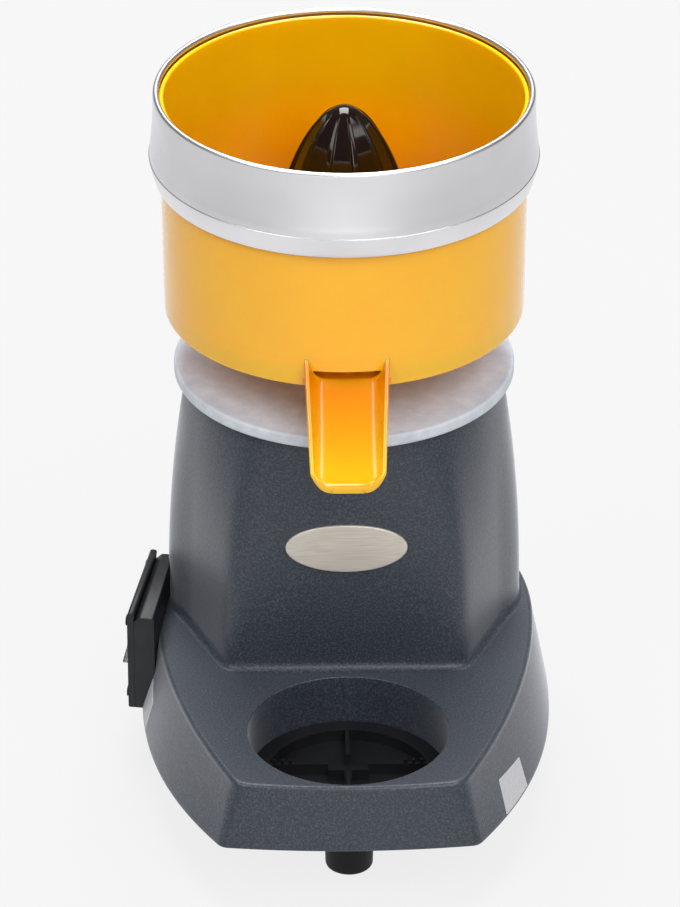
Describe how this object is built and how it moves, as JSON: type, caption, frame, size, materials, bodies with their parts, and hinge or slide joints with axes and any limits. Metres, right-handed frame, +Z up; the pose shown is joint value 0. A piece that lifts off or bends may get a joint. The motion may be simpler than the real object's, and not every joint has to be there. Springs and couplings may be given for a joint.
{
  "type": "electric citrus press",
  "caption": "Electric citrus press: fluted cone driven by a motor in a cast tower, lift-off bowl with spout, splash ring, and a base shelf with a well for the glass.",
  "frame": {"origin": "middle of the footprint's bounding box, on the worktop the feet stand on", "axes": "+X to the right of the user, +Y to the rear, +Z up along the motor shaft"},
  "size_m": [0.2186, 0.308, 0.3487],
  "materials": {
    "powder_coat": "dark grey speckled powder coat",
    "sheet_steel": "zinc plated sheet",
    "fastener_steel": "zinc plated",
    "black_rubber": "matt",
    "cast_aluminium": "satin cast",
    "motor_casting": "die cast",
    "badge_steel": "brushed, bare",
    "lamination_steel": "stacked sheet",
    "enamelled_copper": "varnished winding",
    "bearing_steel": "ground",
    "capacitor_can": "drawn can",
    "terminal_plastic": "moulded",
    "black_plastic": "fine texture",
    "clear_silicone": "clear silicone",
    "shaft_steel": "ground stainless",
    "rotor_aluminium": "die cast",
    "amber_plastic": "gloss yellow orange",
    "spun_aluminium": "spun satin",
    "sieve_steel": "slotted stainless",
    "dark_brown_plastic": "gloss near black",
    "tray_plastic": "moulded",
    "rocker_plastic": "gloss"
  },
  "bodies": {
    "base": {"base_casting": "powder_coat", "bottom_plate": "sheet_steel", "bottom_plate_screws": "fastener_steel", "front_foot": "black_rubber", "rear_left_foot": "black_rubber", "rear_right_foot": "black_rubber", "foot_screws": "fastener_steel", "seat_plate": "cast_aluminium", "seat_plate_screws": "fastener_steel", "shaft_seal": "black_rubber", "badge_plate": "badge_steel", "motor_upper_shield": "motor_casting", "motor_lower_shield": "motor_casting", "motor_mount_screws": "fastener_steel", "stator_core": "lamination_steel", "stator_windings": "enamelled_copper", "motor_through_bolts": "fastener_steel", "upper_bearing_outer_race": "bearing_steel", "lower_bearing_outer_race": "bearing_steel", "run_capacitor": "capacitor_can", "capacitor_clip": "sheet_steel", "terminal_block": "terminal_plastic", "cable_gland": "black_plastic", "switch_box": "black_plastic", "switch_box_screws": "fastener_steel", "switch_cover": "black_plastic", "switch_cover_screws": "fastener_steel", "switch_body": "black_plastic", "switch_boot": "clear_silicone"},
    "rotor": {"motor_shaft": "shaft_steel", "rotor_core": "lamination_steel", "rotor_end_rings": "rotor_aluminium", "cooling_fan": "black_plastic", "drive_pin": "shaft_steel", "upper_bearing_inner_race": "bearing_steel", "upper_bearing_balls": "bearing_steel", "lower_bearing_inner_race": "bearing_steel", "lower_bearing_balls": "bearing_steel"},
    "bowl": {"juice_bowl": "amber_plastic"},
    "ring": {"splash_ring": "spun_aluminium"},
    "sieve": {"pulp_sieve": "sieve_steel"},
    "cone": {"reamer_cone": "dark_brown_plastic", "cone_drive_bush": "shaft_steel"},
    "tray": {"drip_tray": "tray_plastic"},
    "rocker": {"switch_rocker": "rocker_plastic"}
  },
  "joints": [
    {"name": "rotor_spin", "type": "hinge", "parent": "base", "child": "rotor", "pos_m": [0.0053, 0.0425, 0.15], "axis": [0, 0, 1], "continuous": true},
    {"name": "bowl_lift", "type": "slide", "parent": "base", "child": "bowl", "axis": [0, 0, 1], "range_m": [0, 0.12]},
    {"name": "cone_lift", "type": "slide", "parent": "rotor", "child": "cone", "axis": [0, 0, 1], "range_m": [0, 0.12]},
    {"name": "ring_lift", "type": "slide", "parent": "bowl", "child": "ring", "axis": [0, 0, 1], "range_m": [0, 0.08]},
    {"name": "sieve_lift", "type": "slide", "parent": "bowl", "child": "sieve", "axis": [0, 0, 1], "range_m": [0, 0.14]},
    {"name": "tray_lift", "type": "slide", "parent": "base", "child": "tray", "axis": [0, 0, 1], "range_m": [0, 0.06]},
    {"name": "switch_rock", "type": "hinge", "parent": "base", "child": "rocker", "pos_m": [-0.09922, 0.01333, 0.056], "axis": [-0.1685, -0.9857, 0], "range_deg": [0, 16]}
  ],
  "couplings": [
    {"joint": "cone_lift", "follows": "bowl_lift", "ratio": 1}
  ]
}
